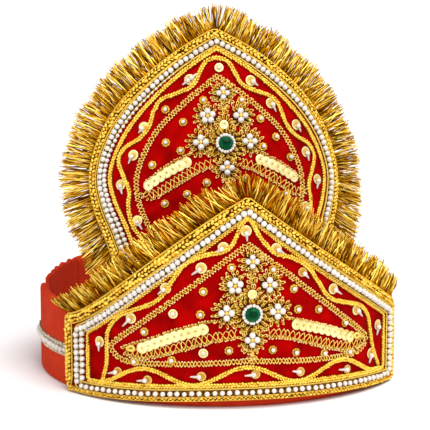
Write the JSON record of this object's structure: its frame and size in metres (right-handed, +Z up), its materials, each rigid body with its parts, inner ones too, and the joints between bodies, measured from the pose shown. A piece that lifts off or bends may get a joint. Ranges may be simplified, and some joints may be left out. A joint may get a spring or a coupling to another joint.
{
  "type": "costume crown",
  "caption": "Cloth costume crown: a gathered headband carries a low pointed front panel and a tall leaning rear panel, both velvet with cord, pearl and sequin trim and tinsel fringe.",
  "frame": {"origin": "middle of the crown's footprint, on the surface under the band's lower rim", "axes": "+Z up through the head opening; the crown's front faces -Y; +X to the right seen from the front"},
  "size_m": [0.1834, 0.1868, 0.1802],
  "materials": {
    "band_cotton": "plain woven cotton, matt",
    "panel_velvet": "short-pile velvet",
    "gold_thread": "plaited metallic thread",
    "silver_thread": "plaited metallic thread",
    "pearl": "pearlescent bead",
    "sequin": "metallised film",
    "stone_green": "polished cabochon",
    "fringe_gold": "crimped tinsel strands"
  },
  "bodies": {
    "root": {"band_front": "band_cotton", "band_back": "band_cotton", "band_gather_left": "band_cotton", "band_gather_right": "band_cotton", "band_trim_left": "silver_thread", "band_trim_right": "silver_thread", "front_panel": "panel_velvet", "front_braid": "gold_thread", "front_pearl_border": "pearl", "front_inner_cord": "gold_thread", "front_wave_cord": "gold_thread", "front_chain_frame": "gold_thread", "front_stone": "stone_green", "front_flower_top": "pearl", "front_flower_upper_left": "pearl", "front_flower_upper_right": "pearl", "front_flower_left": "pearl", "front_flower_right": "pearl", "front_flower_bottom": "pearl", "front_strip_left": "sequin", "front_strip_right": "sequin", "front_fringe": "fringe_gold", "rear_panel": "panel_velvet", "rear_braid": "gold_thread", "rear_pearl_border": "pearl", "rear_inner_cord": "gold_thread", "rear_wave_cord": "gold_thread", "rear_chain_frame": "gold_thread", "rear_stone": "stone_green", "rear_flower_top": "pearl", "rear_flower_upper_left": "pearl", "rear_flower_upper_right": "pearl", "rear_flower_left": "pearl", "rear_flower_right": "pearl", "rear_flower_bottom": "pearl", "rear_strip_left": "sequin", "rear_strip_right": "sequin", "rear_fringe": "fringe_gold"}
  },
  "joints": []
}
